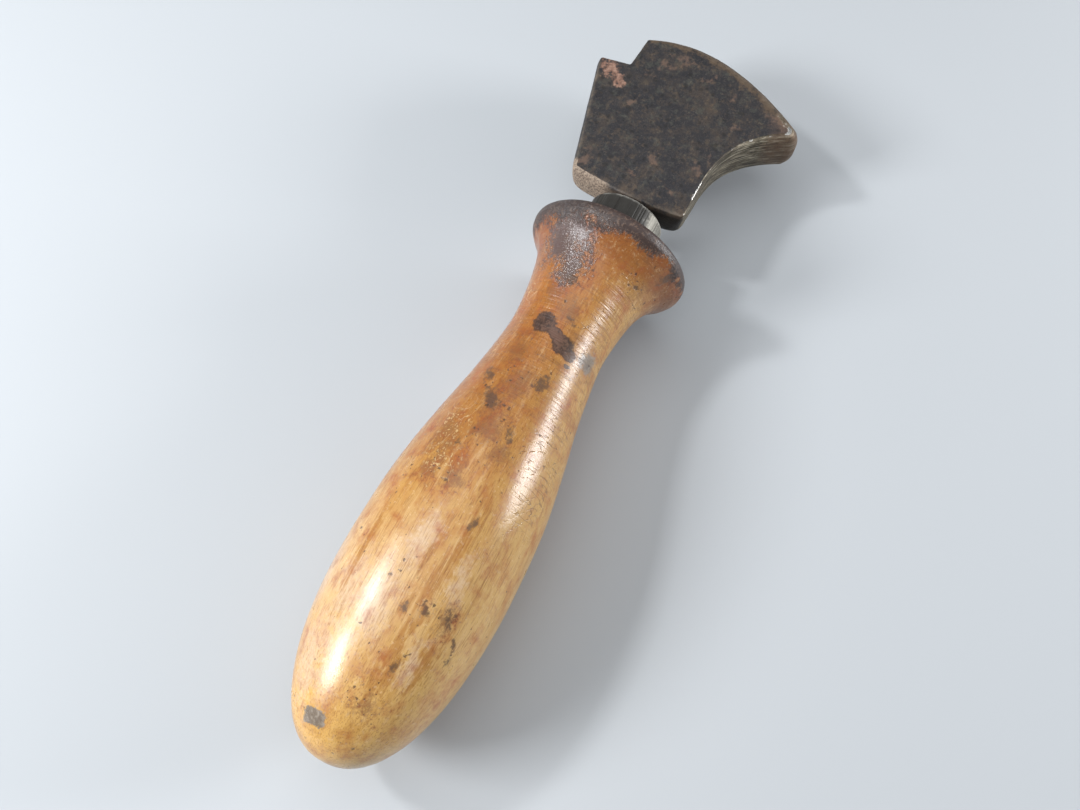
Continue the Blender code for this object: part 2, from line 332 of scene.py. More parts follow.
WORN_PATCHES = [
    (71.0, 119, 7.0, 5.0), (63.0, 112, 5.0, 6.0), (108.0, 158, 9.0, 5.0), (40.0, 230, 16.0, 12.0),
]
CRAZED_PATCHES = [(72.0, 40, 18.0, 9.0), (100.0, 52, 18.0, 5.0)]
PITS = [
    (11.3, 66, .40, .35), (10.8, 60, .36, .34), (6.3, 68, .30, .34), (5.2, 57, .34, .44),
    (16.2, 81, .5, .3), (24.6, 67, .46, .5), (25.3, 65, .4, .3), (30.8, 70, .5, .4),
    (36.8, 100, .6, .6), (38.2, 96, .3, .5), (25.5, 95, .36, .4), (26.0, 121, .3, .3),
    (118.3, 84, .55, .5), (117.4, 45, .4, .3), (120.9, 39, .62, 1.2), (120.1, 47, .4, .6),
    (120.8, 15, .5, .4), (123.5, 9, .3, .7), (122.3, 53, .3, .3), (121.6, 33, .3, .5),
    (58.6, 101, .45, 1.3), (68.0, 60, .3, .3), (69.6, 68, .3, .3), (82.6, 110, .35, .35),
    (61.6, 116, .8, .35),
]
SPECK_CLUSTERS = [
    (33.4, 80, 2.6, 3.2), (35.2, 57, 3.4, 3.4), (34.5, 70, 2.2, 3.0), (29.0, 42, 5.0, 2.0),
    (57.0, 129, 6.0, 1.8), (62.0, 117, 5.0, 3.5), (14.0, 73, 5.0, 5.5), (121.0, 30, 4.0, 6.0),
    (80.0, 112, 6.0, 5.0), (39.0, 92, 5.0, 5.0), (72.0, 88, 11.0, 8.0), (90.0, 98, 8.0, 6.0),
    (44.0, 250, 10.0, 12.0), (96.0, 220, 9.0, 9.0), (20.0, 310, 7.0, 8.0),
]
# Each crack runs through places from the butt, with their angles
CRACKS = [
    [(68.6, 50), (70.4, 45), (72.0, 38), (74.8, 31), (76.2, 24), (78.4, 20)],
    [(56.0, 56), (60.5, 44), (65.0, 32), (67.0, 25)],
    [(54.5, 50), (60.0, 38), (63.0, 29)],
    [(71.6, 66), (74.2, 52), (75.5, 41)],
    [(62.5, 47), (66.0, 37), (68.6, 27)],
    [(120.9, 61), (121.1, 54), (120.3, 47)],
]


def handle_profile():
    """(x, radius) rows: a superellipse bulb, then one smooth curve along the grip, the waist and the
    lip, the flat end, the spigot inside the ferrule, and back along the tapered bore of the tang.
    Also how many of the rows lie on the outside."""
    from_widest = np.cos(np.linspace(0.0, math.pi / 2, 160))
    bulb = np.column_stack([
        BULB_LENGTH * (1 - from_widest),
        BULB_RADIUS * (1 - from_widest ** 2.4) ** (1 / 2.2),
    ])
    grip_and_lip = smooth_through([
        (BULB_LENGTH, BULB_RADIUS), (56, 18.6), (66, 17.6), (76, 16.0), (86, 14.15), (95, 12.8),
        WAIST, (112, 12.6), (118, 13.6), (122, 14.95), (124.8, 16.6), (127.0, 18.75),
        (128.5, 19.85), (129.4, 20.1), LIP, (131.0, 19.85), (131.45, 19.2), SHOULDER,
    ], 24)
    shown = spaced(np.vstack([bulb, grip_and_lip[1:]]), lambda x: np.where(x > 122, 0.16, 0.42))
    hidden = [
        (SHOULDER[0], 16.0), (SHOULDER[0], 12.0), (SHOULDER[0], SPIGOT_RADIUS),
        (SPIGOT_END, SPIGOT_RADIUS), (SPIGOT_END, BORE_MOUTH),
        (106.0, 0.5 * (BORE_MOUTH + BORE_END[1])), BORE_END,
    ]
    return np.vstack([shown[1:], hidden]), len(shown) - 1


def make_handle():
    """Every ring of the profile is set round the axis. Points then move along the surface's normal by
    the sum of slow waviness, a slight bend near the waist, the grooves under the lip, and the dips of
    pits, cracks and burns, and the lip is pushed over sideways. Each kind of mark becomes a field: 1
    in the middle of a mark, 0 on its rim and -1 away from it, with its coordinates made to drift."""
    profile, shown = handle_profile()
    angle = np.linspace(0.0, 2 * math.pi, AROUND, endpoint=False)
    x = np.repeat(profile[:, 0], AROUND)
    radius = np.repeat(profile[:, 1], AROUND)
    turn = np.tile(angle, len(profile))
    outside = np.repeat(np.arange(len(profile)) < shown, AROUND)
    slope = np.repeat(np.arctan2(np.gradient(profile[:, 1]), np.gradient(profile[:, 0])), AROUND)

    def across(degrees):
        """Distance round the surface from an angle, in millimetres."""
        gap = (turn - math.radians(degrees) + math.pi) % (2 * math.pi) - math.pi
        return gap * radius

    near = np.column_stack([x, -radius * np.cos(turn), radius * np.sin(turn)])
    slow = ripple(near, 26.0, 1) * 0.07 + ripple(near * (0.35, 1, 1), 7.0, 2) * 0.022
    drift_along = 0.30 * ripple(near, 4.5, 41) + 0.14 * ripple(near, 1.6, 42)
    drift_across = 0.30 * ripple(near, 4.5, 43) + 0.14 * ripple(near, 1.6, 44)

    def smudges(marks, drift, square=False):
        """The marks' field, its coordinates pushed about by the drift."""
        return spots(x + drift * drift_along, lambda degrees: across(degrees) + drift * drift_across,
                     marks, square)

    pit = spots(x, across, PITS)
    burn = smudges(BURNS, 0.6)
    crack = lines(x, across, CRACKS)
    groove = sum(np.exp(-((x - place) / 0.16) ** 2) for place in GROOVES)
    bend = np.exp(-((x - 91.0) / 5.0) ** 2) * np.cos(turn - 1.3) * 0.05
    move = slow + bend - 0.05 * np.clip(pit, 0, 0.6) - 0.02 * fade(crack, 0.5, 1.0)
    move += -0.014 * groove - 0.02 * fade(burn, 0.0, 0.3) - DRAWN_IN
    move *= outside
    radius_now = radius + move * np.cos(slope)
    lean_over = LIP_LEANS * fade(x, 117.0, 128.5) * outside
    points = np.column_stack([
        x - move * np.sin(slope),
        -radius_now * np.cos(turn) - lean_over,
        radius_now * np.sin(turn),
    ])
    points = np.vstack([points, [[DRAWN_IN, 0.0, 0.0], [BORE_END[0] - 0.3, 0.0, 0.0]]])
    rows = len(profile)
    quads = ring_faces(rows, AROUND)
    first_cap = cap_faces(0, AROUND, rows * AROUND)
    last_cap = cap_faces((rows - 1) * AROUND, AROUND, rows * AROUND + 1)[:, ::-1]
    degrees = np.degrees(turn)
    rim_wander = 0.45 * ripple(near, 9.0, 5) + 0.3 * ripple(near, 3.5, 6)
    fields = {
        "burnt": burn,
        "stain": smudges(STAINS, 1.6),
        "grey": smudges(GREY_PATCHES, 1.4),
        # painted reflection, drawn as a square patch
        "square": smudges(REFLECTION_PATCHES, 0.35, square=True),
        "amber": smudges(AMBER_STREAKS, 1.5),
        # faded wood, partly a painted sheen
        "bleached_and_sheen": smudges(BLEACHED_AND_SHEEN_PATCHES, 2.5),
        "grime": smudges(GRIME_PATCHES, 2.5),
        "crazed": spots(x, across, CRAZED_PATCHES),
        "pit": pit,
        "specked": smudges(SPECK_CLUSTERS, 2.0),
        "crack": crack,
        "char": (x - 128.0 + 1.7 * np.cos(np.radians(degrees - 102)) + rim_wander) / 1.6,
        "heat": spots(x, across, HEATED_PATCHES),
        "soot": smudges(SOOTY_PATCHES, 2.0),
        # painted light: paler towards the nose side, where the light falls
        "pale": np.clip(np.cos(np.radians(degrees - 8)), 0, 1) ** 1.5 * fade(-x, -128, -116),
        "worn": spots(x, across, WORN_PATCHES),
    }
    at_poles = {"char": (-3.0, 1.0), "pale": (0.0, 0.0)}
    for name, values in fields.items():
        fields[name] = np.concatenate([values, at_poles.get(name, (-1.0, -1.0))])
    piece = add_piece("turned_handle", points, quads, np.vstack([first_cap, last_cap]),
                      varnished_wood(), fields)
    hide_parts("handle")


# ---------------------------------------------------------------- ferrule
def make_ferrule():
    """A ring whose outer wall is fluted. Each crimp is a bell-shaped dip with its own depth, width and
    place round the ring, deepest at the open end and gone near the handle, and a slow unevenness is
    added to it. The fields are the crimp, the distance from the mouth, and the side that gets a
    painted shadow of the head."""
    rng = np.random.default_rng(5)
    start, end = FERRULE
    bend = np.linspace(0.0, math.pi / 2, 9)
    straight = np.linspace(start, end - FERRULE_ROUNDING, 22)
    outer = np.column_stack([straight, np.full(len(straight), FERRULE_RADIUS)])
    crest = np.column_stack([
        end - FERRULE_ROUNDING * (1 - np.sin(bend)),
        FERRULE_RADIUS - FERRULE_ROUNDING * (1 - np.cos(bend)),
    ])
    inner_radius = FERRULE_RADIUS - FERRULE_WALL
    inner = np.column_stack([np.linspace(end, start, 8), np.full(8, inner_radius)])
    profile = np.vstack([outer, crest[1:], inner])
    angle = np.linspace(0.0, 2 * math.pi, FERRULE_AROUND, endpoint=False)
    middles = (np.arange(FLUTES) + rng.uniform(-0.45, 0.45, FLUTES)) * 2 * math.pi / FLUTES
    depths = rng.uniform(0.0, 1.0, FLUTES) ** 1.8
    widths = rng.uniform(0.10, 0.26, FLUTES) / FERRULE_RADIUS
    gap = (angle[:, None] - middles + math.pi) % (2 * math.pi) - math.pi
    crimp = (depths * np.exp(-(gap / widths) ** 2)).sum(axis=1)
    reach = 0.55 + 0.3 * np.sin(3 * angle + 1.0) + 0.15 * np.sin(7 * angle)
    x = np.repeat(profile[:, 0], FERRULE_AROUND)
    radius = np.repeat(profile[:, 1], FERRULE_AROUND)
    turn = np.tile(angle, len(profile))
    from_end = (end - x) / (end - start)
    cut = np.tile(crimp, len(profile)) * (1 - fade(from_end, 0.25, np.tile(reach, len(profile)) + 0.45))
    outside = radius > inner_radius + 0.01
    near = np.column_stack([x, -radius * np.cos(turn), radius * np.sin(turn)])
    radius = radius - outside * (0.17 * cut + 0.03 * (1 + ripple(near, 5.0, 8)))
    points = np.column_stack([x, -radius * np.cos(turn), radius * np.sin(turn)])
    quads = ring_faces(len(profile), FERRULE_AROUND, closed_rows=True)
    none = np.zeros((0, 3), dtype=int)
    degrees = np.degrees(turn)
    # painted shadow of the head: the ferrule's top and heel side, where the head shades it
    shaded_side = fade(degrees, 36, 66) * (1 - fade(degrees, 215, 290))
    fields = {"crimp": cut * outside, "mouth": 1 - from_end, "shaded_side": shaded_side}
    piece = add_piece("crimped_ferrule", points, quads, none, ferrule_steel(), fields)
    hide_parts("ferrule")


# ---------------------------------------------------------------- head
# Marks on the steel: place from the butt, place across (the nose is negative), and the half sizes
BARE_PATCHES = [
    (178.0, 22.3, 2.3, 2.6), (176.4, 19.4, 2.2, 2.0), (174.8, 17.9, 1.6, 1.5),
    (179.0, 24.4, 1.3, 1.3),
]
RUST_BLOTCHES = [
    (185.6, 10.0, 1.8, 2.6), (187.0, -2.2, 1.2, 1.6), (183.2, -21.6, 2.4, 2.4),
    (160.4, -10.4, 2.6, 1.6), (165.0, -11.8, 1.8, 1.4), (150.4, 15.6, 2.6, 1.6),
    (181.0, 12.5, 1.2, 1.8), (184.5, -10.0, 1.4, 1.2), (158.0, 0.5, 1.4, 1.6),
    (171.0, 13.0, 1.2, 1.4), (151.5, -6.0, 1.2, 2.6), (152.5, 4.0, 1.0, 2.2),
    (176.0, -14.5, 1.6, 1.4), (189.5, 6.0, 1.0, 3.4),
]


def head_outline():
    """Even points round the front cheek, each with x, y and how far the side swells there, and their
    distances round it: a straight and a hollow sole, the nose as an arc, the crown as one curve, the
    notch, the heel and the base."""
    nose = np.array(NOSE)
    sole_end = nose + NOSE_RADIUS * np.array([math.cos(math.radians(210)), -0.5])
    crown_start = nose + NOSE_RADIUS * np.array([math.cos(math.radians(-31)), -0.515])
    fan = np.radians(np.linspace(225, 315, 9))
    sole = np.vstack([np.linspace(TOE_CORNER, SOLE_BEND, 20)[:-1],
                      bezier(SOLE_BEND, (168.3, -12.8), (175.6, -17.4), sole_end, 80)])
    beak = nose + NOSE_RADIUS * np.column_stack([np.cos(fan), np.sin(fan)])
    crown = bezier(crown_start, (191.8, -11.5), (196.3, 3.0), NOTCH_TOP, 120)
    rise = np.clip(np.linspace(1.0, 0.0, len(crown)) / 0.35, 0.0, 1.0)
    crown_swell = NOTCH_SWELL + (CROWN_SWELL - NOTCH_SWELL) * np.sin(rise * math.pi / 2)
    beak_swell = CROWN_SWELL * np.sin(np.linspace(0.35, 1.0, len(beak)) * math.pi / 2)
    sole_swell = beak_swell[0] * fade(sole[:, 0], 164.0, 181.0)
    top = np.linspace(NOTCH_TOP, NOTCH_INNER, 24)[1:]
    ledge = np.linspace(NOTCH_INNER, NOTCH_OUTER, 20)[1:]
    heel = np.linspace(NOTCH_OUTER, HEEL_CORNER, 60)[1:]
    base = bezier(HEEL_CORNER, (HEAD_BASE - 0.3, 8.0), (HEAD_BASE - 0.3, -6.0), TOE_CORNER, 60)[1:-1]
    sides = [(sole, sole_swell), (beak, beak_swell), (crown, crown_swell), (top, 0.0), (ledge, 0.0),
             (heel, BASE_SWELL), (base, BASE_SWELL)]
    rows = np.vstack([np.column_stack([pts, np.broadcast_to(swell, len(pts))]) for pts, swell in sides])
    rows = np.vstack([rows, rows[:1]])
    run = np.concatenate([[0.0], np.cumsum(np.linalg.norm(np.diff(rows[:, :2], axis=0), axis=1))])
    even = np.linspace(0.0, run[-1], OUTLINE_POINTS, endpoint=False)
    return np.column_stack([np.interp(even, run, column) for column in rows.T]), even


def eased(rows, reach):
    """A closed run of rows, each averaged with its neighbours by a bell curve reach points wide."""
    offsets = np.arange(-4 * reach, 4 * reach + 1)
    weights = np.exp(-0.5 * (offsets / reach) ** 2)
    weights /= weights.sum()
    return sum(w * np.roll(rows, -int(o), axis=0) for w, o in zip(weights, offsets))


def outward(points):
    """Unit normals of a closed anticlockwise outline."""
    ahead = np.roll(points, -1, axis=0) - np.roll(points, 1, axis=0)
    ahead /= np.linalg.norm(ahead, axis=1)[:, None]
    return np.column_stack([ahead[:, 1], -ahead[:, 0]])


def back_height(x):
    """Height of the sloping back cheek over the axis."""
    return FRONT_CHEEK - BASE_THICKNESS - THICKEN_UP * (x - HEAD_BASE)


def make_head():
    """The outline goes round the side in steps of an angle: the bow outwards is the swell times its
    sine, the height between the cheeks follows its cosine, and each rim has a quarter round. Beside
    the handle the corners ease into round ones towards the back. The cheeks are the same outline drawn
    in towards the middle of the head in even shares. Slow and fine unevenness is added last, with the
    dips of pits, bare patches and rust."""
    rows, run = head_outline()
    crisp = eased(rows, 1)
    round_corners = eased(rows, 7)
    near_base = 1 - fade(crisp[:, 0], 150.0, 156.0)
    back_rim = BACK_RIM + BACK_RIM_AT_BASE * near_base
    rings, heights, levels = [], [], []
    for angle in np.linspace(0.0, math.pi, SIDE_RINGS):
        level = -math.cos(angle)
        share = (near_base * fade(level, -1.0, 0.6))[:, None]
        shape = crisp * (1 - share) + round_corners * share
        rounding = FRONT_RIM if level < 0 else back_rim
        thickness = FRONT_CHEEK - back_height(shape[:, 0])
        bevel = 2 * rounding / thickness
        past = np.clip((abs(level) - 1 + bevel) / bevel, 0.0, 1.0)
        inset = rounding * (1 - np.sqrt(1 - past ** 2))
        ring = shape[:, :2] + outward(shape[:, :2]) * (shape[:, 2] * math.sin(angle) - inset)[:, None]
        back = back_height(ring[:, 0])
        rings.append(ring)
        heights.append(FRONT_CHEEK + (back - FRONT_CHEEK) * (level + 1) / 2)
        levels.append(np.full(len(ring), level))
    middle = np.array(HEAD_MIDDLE)
    shares = 1 - np.linspace(0, 1, CHEEK_RINGS)[1:-1] ** 0.92
    front = [middle + share * (rings[0] - middle) for share in shares[::-1]]
    back = [middle + share * (rings[-1] - middle) for share in shares[::2]]
    outline = np.vstack(front + rings + back)
    in_front, behind = len(front) * OUTLINE_POINTS, len(back) * OUTLINE_POINTS
    count = len(outline) // OUTLINE_POINTS
    height = np.concatenate([np.full(in_front, FRONT_CHEEK), *heights, back_height(np.vstack(back)[:, 0])])
    poles = [[*middle, FRONT_CHEEK], [*middle, back_height(middle[0])]]
    points = np.vstack([np.column_stack([outline, height]), poles])
    level = np.concatenate([np.full(in_front, -1.0), *levels, np.ones(behind), [-1.0, 1.0]])
    along = np.concatenate([np.tile(run, count), [0.0, 0.0]])
    x, y = points[:, 0], points[:, 1]

    def across(place):
        """Distance across from a place, in millimetres."""
        return y - place

    rng = np.random.default_rng(23)
    pits = np.column_stack([rng.uniform(low, high, HEAD_PITS)
                            for low, high in ((147, 193), (-24, 25), (0.3, 0.9), (0.3, 0.9))])
    pit = spots(x, across, pits.tolist())
    drift_x = 0.45 * ripple(points, 3.6, 51) + 0.22 * ripple(points, 1.5, 52)
    drift_y = 0.45 * ripple(points, 3.6, 53) + 0.22 * ripple(points, 1.5, 54)
    bare = spots(x + drift_x, lambda place: across(place) + drift_y, BARE_PATCHES)
    rust = spots(x + 1.5 * drift_x, lambda place: across(place) + 1.5 * drift_y, RUST_BLOTCHES)
    on_front, on_back = level <= -0.999, level >= 0.999
    side = ~(on_front | on_back)
    uneven = sum(depth * ripple(points, pitch, seed)
                 for depth, pitch, seed in ((0.045, 9.0, 31), (0.025, 2.6, 32), (0.012, 1.1, 33)))
    dip = 0.05 * np.clip(pit, 0, 0.7) + 0.04 * fade(bare, 0.0, 0.4) + 0.03 * fade(rust, 0.0, 0.6)
    points[:, 2] += (uneven - dip) * on_front - (uneven - 0.5 * dip) * on_back
    ways = np.vstack([np.tile(outward(crisp[:, :2]), (count, 1)), np.zeros((2, 2))])
    near_sole = (y < -10) & (x < 182)
    push = 0.5 * uneven * side * np.where(near_sole, 0.3, 1.0)
    points[:, :2] += ways * push[:, None]
    depth = (FRONT_CHEEK - points[:, 2]) / (FRONT_CHEEK - back_height(x))
    on_sole = fade(-np.abs(along - SOLE_RUN[0]), -SOLE_RUN[1], 4.0 - SOLE_RUN[1])
    on_crown = (fade(along, CROWN_RUN[0], CROWN_RUN[0] + 3.0)
                * (1 - fade(along, CROWN_RUN[1] - 3.0, CROWN_RUN[1])))
    to_middle = np.tile(np.linalg.norm(rings[0] - middle, axis=1), count)
    gone_in = np.maximum(to_middle - np.linalg.norm(points[:-2, :2] - middle, axis=1), 0.0)
    gone_in = np.concatenate([gone_in, [20.0, 20.0]])
    on_rings = np.zeros(len(level))
    on_rings[in_front:in_front + SIDE_RINGS * OUTLINE_POINTS] = 1.0
    rim = np.exp(-((level + 0.985) / 0.022) ** 2) * on_rings
    fields = {
        "bare": np.where(level < -0.9, bare, -1.0),
        "rust": rust,
        "pit": np.where(side, -1.0, pit),
        # front edge along the sole: partly rubbed bright, partly a painted highlight, with a painted glint
        # at the nose tip
        "polish_and_glint": rim * on_sole * (0.50 + 0.42 * np.exp(-((x - 155.0) / 4.0) ** 2)
                                     + 0.5 * np.exp(-((y + 26.2) / 0.7) ** 2)),
        "rim": (np.exp(-((level + 0.97) / 0.05) ** 2) + np.exp(-((level - 0.95) / 0.09) ** 2)) * on_rings,
        "sole": on_sole * side,
        "base": 1 - fade(x, HEAD_BASE + 0.4, HEAD_BASE + 4.4),
        # heel corner of the end face: grainy rust, painted lighter where the light falls on it
        "heel": fade(y, 4.0, 12.0) * side * (1 - fade(x, 148.6, 150.2)),
        # painted shadow on the end face's corner by the sole, where shade falls
        "toe": fade(-y, 1.0, 6.0) * side * (1 - fade(x, 146.4, 147.6)) * fade(depth, 0.04, 0.2),
        "crown": on_crown * np.exp(-gone_in / 1.4) * (1 - fade(depth, 0.35, 0.9)),
        "tip": fade(-y, 17.0, 25.0),
        "run": np.column_stack([along, depth * 12.0, np.zeros(len(along))]),
    }
    total = count * OUTLINE_POINTS
    quads = ring_faces(count, OUTLINE_POINTS)
    caps = np.vstack([cap_faces(0, OUTLINE_POINTS, total),
                      cap_faces((count - 1) * OUTLINE_POINTS, OUTLINE_POINTS, total + 1)[:, ::-1]])
    piece = add_piece("iron_head", points, quads, caps, patinated_steel(), fields)
    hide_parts("head")


# ---------------------------------------------------------------- materials: small helpers
def new_finish(name):
    """A new material, its node tree and its shader."""
    material = bpy.data.materials.new(name)
    material.use_nodes = True
    return material, material.node_tree, material.node_tree.nodes["Principled BSDF"]


def node(tree, kind, inputs=None, **settings):
    """A node with its settings, and its inputs either linked or set."""
    made = tree.nodes.new(kind)
    for key, value in settings.items():
        setattr(made, key, value)
    for key, value in (inputs or {}).items():
        feed(tree, made.inputs[key], value)
    return made


def feed(tree, socket, value):
    """Links a socket, or sets it to a number or a colour."""
    if isinstance(value, bpy.types.NodeSocket):
        tree.links.new(value, socket)
    elif isinstance(value, tuple) and len(value) == 3 and socket.type == "RGBA":
        socket.default_value = (*value, 1.0)
    else:
        socket.default_value = value


def field(tree, name):
    """One of the piece's own fields."""
    return node(tree, "ShaderNodeAttribute", attribute_name=name).outputs["Fac"]


def sums(tree, operation, a, b=0.0, clamp=False):
    """One step of arithmetic on two values."""
    return node(tree, "ShaderNodeMath", {0: a, 1: b}, operation=operation, use_clamp=clamp).outputs[0]


def step(tree, value, low, high, bottom=0.0, top=1.0):
    """A smooth change from bottom at low to top at high."""
    made = node(tree, "ShaderNodeMapRange", interpolation_type="SMOOTHSTEP")
    for key, given in (("Value", value), ("From Min", low), ("From Max", high),
                       ("To Min", bottom), ("To Max", top)):
        feed(tree, made.inputs[key], given)
    return made.outputs["Result"]


def blend(tree, share, under, over, kind="MIX"):
    """One colour laid over another by a share."""
    made = node(tree, "ShaderNodeMix", data_type="RGBA", blend_type=kind)
    feed(tree, made.inputs[0], share)
    feed(tree, made.inputs[6], under)
    feed(tree, made.inputs[7], over)
    return made.outputs[2]


def lay(tree, under, share, strength, over, kind="MIX"):
    """A colour laid over another by a share, at a strength from 0 to 1."""
    return blend(tree, sums(tree, "MULTIPLY", share, strength), under, over, kind)


def colours(tree, share, stops):
    """A colour band: stops are places from 0 to 1 with their colours."""
    ramp = node(tree, "ShaderNodeValToRGB", {"Fac": share})
    elements = ramp.color_ramp.elements
    elements[0].position, elements[-1].position = stops[0][0], stops[-1][0]
    for place, _ in stops[1:-1]:
        elements.new(place)
    for element, (_, colour) in zip(elements, stops):
        element.color = (*colour, 1.0)
    return ramp.outputs["Color"]


def clouds(tree, per_metre, detail=3.0, roughness=0.55, shift=0.0, source=None):
    """Cloudy noise from 0 to 1, with how many clouds there are to the metre each way."""
    if source is None:
        source = node(tree, "ShaderNodeTexCoord").outputs["Object"]
    scaled = node(tree, "ShaderNodeMapping", {"Vector": source, "Location": (shift, shift, shift)})
    scaled.inputs["Scale"].default_value = per_metre
    made = node(tree, "ShaderNodeTexNoise", {"Vector": scaled.outputs["Vector"], "Scale": 1.0,
                                             "Detail": detail, "Roughness": roughness})
    return made.outputs["Fac"]


def ragged(tree, name, noise, amount, low, high):
    """A field cut off at a rim that the noise makes ragged."""
    pushed = sums(tree, "MULTIPLY", sums(tree, "SUBTRACT", noise, 0.5), amount)
    return step(tree, sums(tree, "ADD", field(tree, name), pushed), low, high)


def specks(tree, place, per_metre, chance):
    """Round dots of mixed sizes, one to a cell, shown in the share of cells given by the chance."""
    cells = node(tree, "ShaderNodeTexVoronoi", {"Vector": place, "Scale": per_metre}, feature="F1")
    draws = node(tree, "ShaderNodeSeparateColor", {"Color": cells.outputs["Color"]})
    growth = sums(tree, "MULTIPLY", draws.outputs["Green"], 0.20)
    grown = sums(tree, "SUBTRACT", cells.outputs["Distance"], growth)
    shown = sums(tree, "LESS_THAN", draws.outputs["Red"], chance)
    return sums(tree, "MULTIPLY", step(tree, grown, 0.10, 0.02), shown)


def hairlines(tree, per_metre, width, shift):
    """Thin wandering lines: the places where a cloud passes through its middle value."""
    cloud = clouds(tree, per_metre, 1.0, 0.5, shift)
    off_middle = sums(tree, "ABSOLUTE", sums(tree, "SUBTRACT", cloud, 0.5))
    return step(tree, off_middle, width, width * 0.3)


def relief(tree, shader, layers):
    """Fine relief: each layer is a height from 0 to 1 with its depth in metres."""
    normal = None
    for height, depth in layers:
        made = node(tree, "ShaderNodeBump", {"Height": height, "Strength": 1.0, "Distance": depth})
        if normal is not None:
            tree.links.new(normal, made.inputs["Normal"])
        normal = made.outputs["Normal"]
    tree.links.new(normal, shader.inputs["Normal"])
    tree.links.new(normal, shader.inputs["Coat Normal"])


# ---------------------------------------------------------------- wood
# The wood's tone from the butt, 0, to the lip, 1
WOOD_TONES = [
    (0.00, (0.70, 0.40, 0.11)), (0.12, (0.62, 0.36, 0.12)), (0.24, (0.66, 0.42, 0.19)),
    (0.40, (0.52, 0.28, 0.085)), (0.50, (0.42, 0.185, 0.043)), (0.66, (0.37, 0.148, 0.032)),
    (0.86, (0.38, 0.140, 0.028)), (1.00, (0.24, 0.075, 0.020)),
]
# What lies over it
NOSE_SIDE_LIGHT = (0.58, 0.36, 0.115)         # painted light: the nose side painted paler, where the light falls
HONEY = (0.50, 0.25, 0.055)             # broad darker clouds near the butt
# faded wood, partly a painted sheen
BLEACHED_AND_SHEEN = (0.68, 0.52, 0.38)
AMBER = (0.40, 0.175, 0.036)
DARK_STREAK = (0.34, 0.155, 0.048)
LIGHT_STREAK = (0.70, 0.47, 0.24)
OPEN_GRAIN = (0.36, 0.17, 0.07)
DRY_CRUMB = (0.80, 0.58, 0.36)
GRIME = (0.190, 0.082, 0.034)
DARK_BAND = (0.24, 0.085, 0.020)        # broad bands round the slender part
FIBRE = (0.20, 0.085, 0.030)
BLOT = (0.15, 0.070, 0.036)
TURNING_SCORE = (0.20, 0.10, 0.05)
REDDENED = (0.36, 0.078, 0.012)         # by heat
SOOT = (0.085, 0.070, 0.070)
RUBBED_WOOD = (0.66, 0.44, 0.20)
LIGHT_STROKE = (0.78, 0.60, 0.38)
STAIN = (0.095, 0.056, 0.036)
CHAR = (0.034, 0.024, 0.022)
CHAR_CRUMB = (0.22, 0.135, 0.090)
BURN_RIM = (0.012, 0.008, 0.008)
PIT_DIRT = (0.062, 0.034, 0.022)
CRACK_DIRT = (0.12, 0.065, 0.035)
CRAZING_DIRT = (0.16, 0.085, 0.045)


